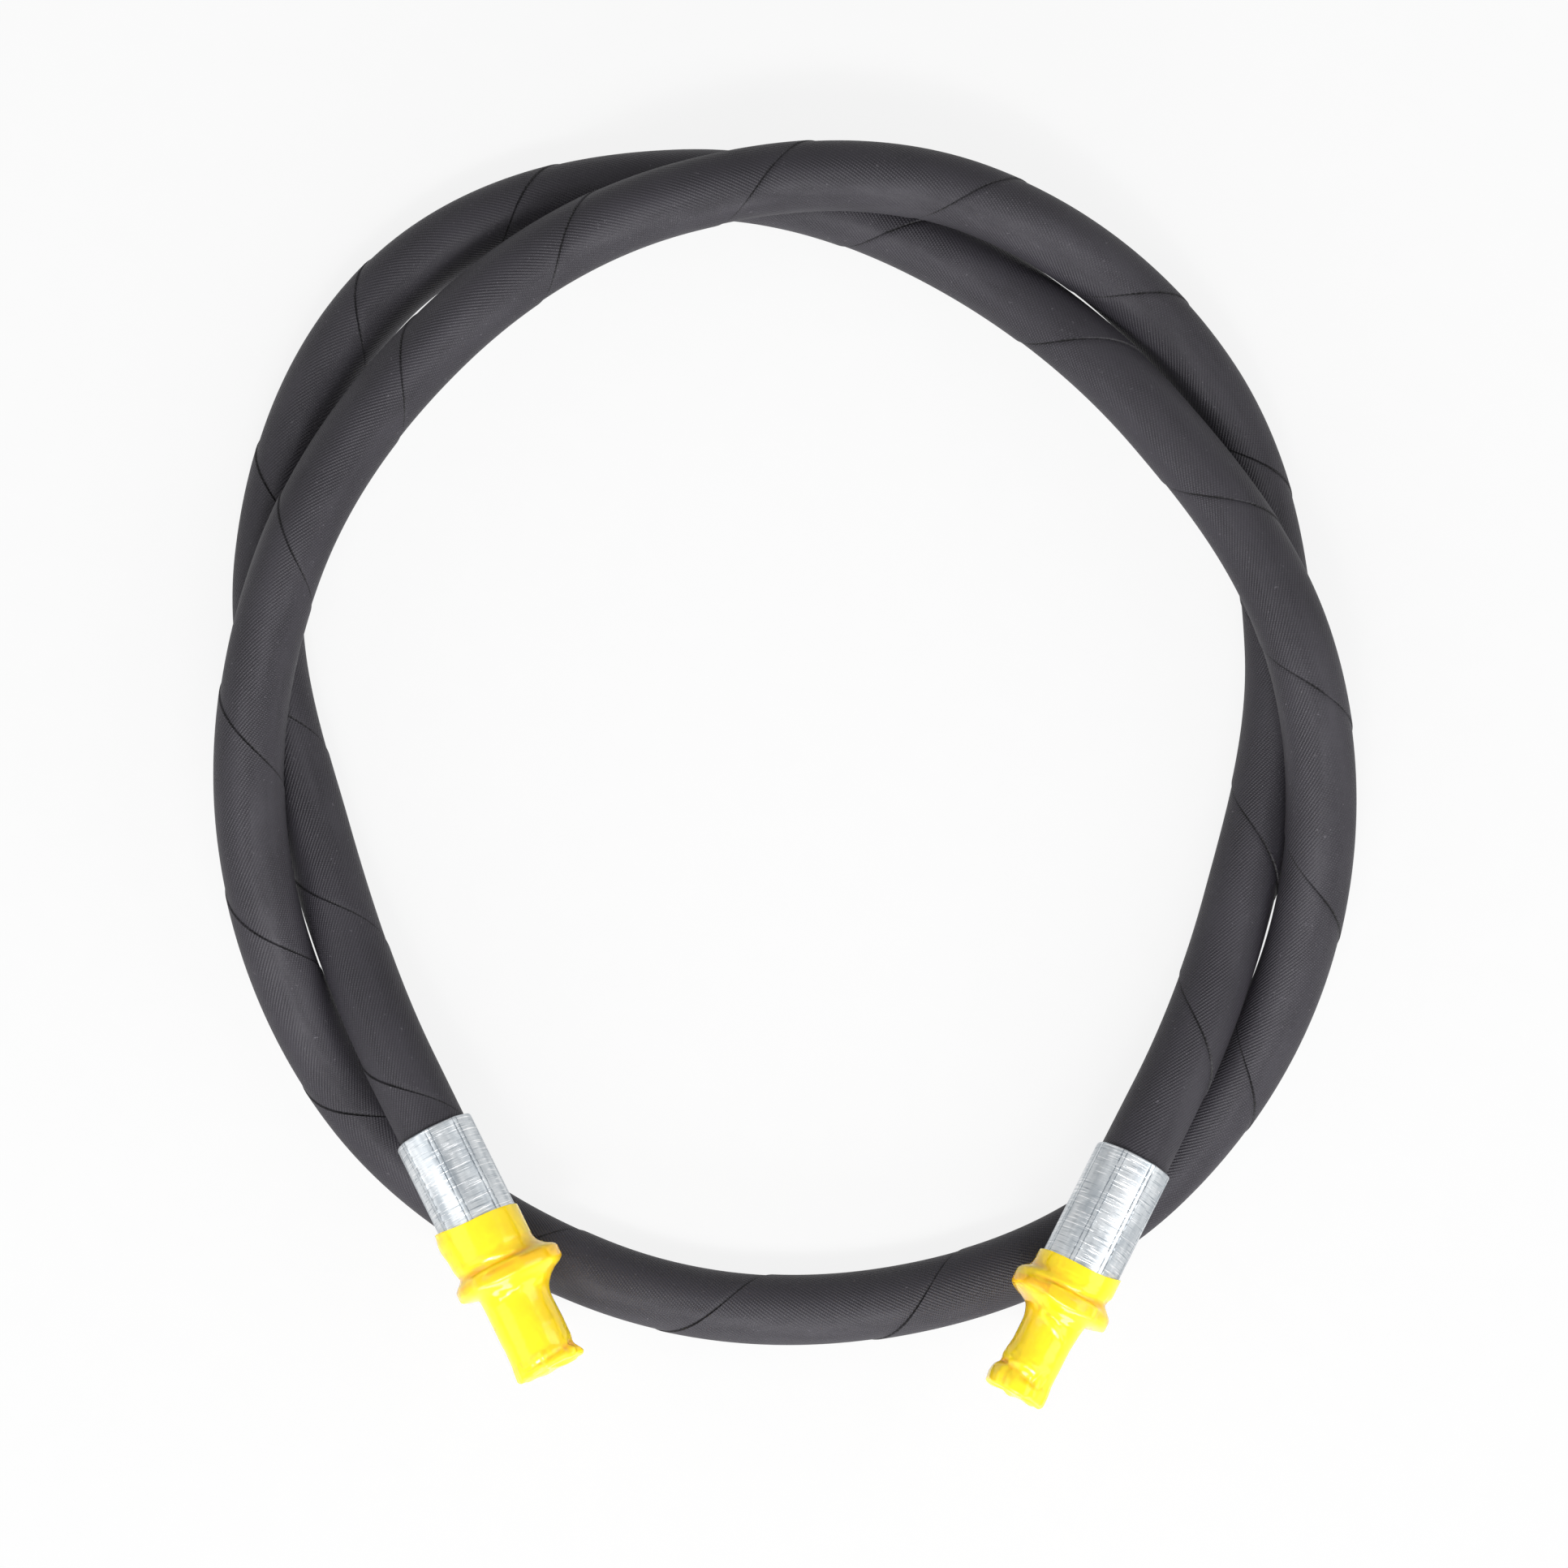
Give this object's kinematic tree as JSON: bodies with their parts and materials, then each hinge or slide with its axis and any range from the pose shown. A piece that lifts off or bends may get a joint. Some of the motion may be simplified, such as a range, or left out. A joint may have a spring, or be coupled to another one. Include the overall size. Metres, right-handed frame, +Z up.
{
  "type": "coiled hydraulic hose assembly",
  "caption": "Black wrapped rubber high-pressure hose lying in a loose coil, with crimped steel ferrules and yellow shrunk plastic caps over the male fittings at its ends.",
  "frame": {"origin": "on the floor under the middle of the coil's outer box", "axes": "+Z up out of the floor that the coil lies on; +Y away from the side where both fittings lie; end A is on the -X side and end B on the +X side"},
  "size_m": [0.6137, 0.6748, 0.1001],
  "materials": {
    "cover_rubber": "matte",
    "ply_rubber": "matte",
    "tube_rubber": "satin",
    "braid_steel": "satin",
    "ferrule_steel": "satin",
    "stem_steel": "satin",
    "cap_plastic": "gloss"
  },
  "bodies": {
    "hose": {"hose_cover": "cover_rubber", "outer_wire_braid": "braid_steel", "braid_ply": "ply_rubber", "inner_wire_braid": "braid_steel", "inner_tube": "tube_rubber", "ferrule_a": "ferrule_steel", "ferrule_b": "ferrule_steel", "stem_a": "stem_steel", "stem_b": "stem_steel"},
    "cap_a": {"cap_a": "cap_plastic"},
    "cap_b": {"cap_b": "cap_plastic"}
  },
  "joints": [
    {"name": "cap_a_pull", "type": "slide", "parent": "hose", "child": "cap_a", "axis": [0.4503, -0.8757, 0.174], "range_m": [0, 0.09], "deforming": ["cap_a"]},
    {"name": "cap_b_pull", "type": "slide", "parent": "hose", "child": "cap_b", "axis": [-0.4566, -0.8668, 0.2007], "range_m": [0, 0.09], "deforming": ["cap_b"]}
  ]
}
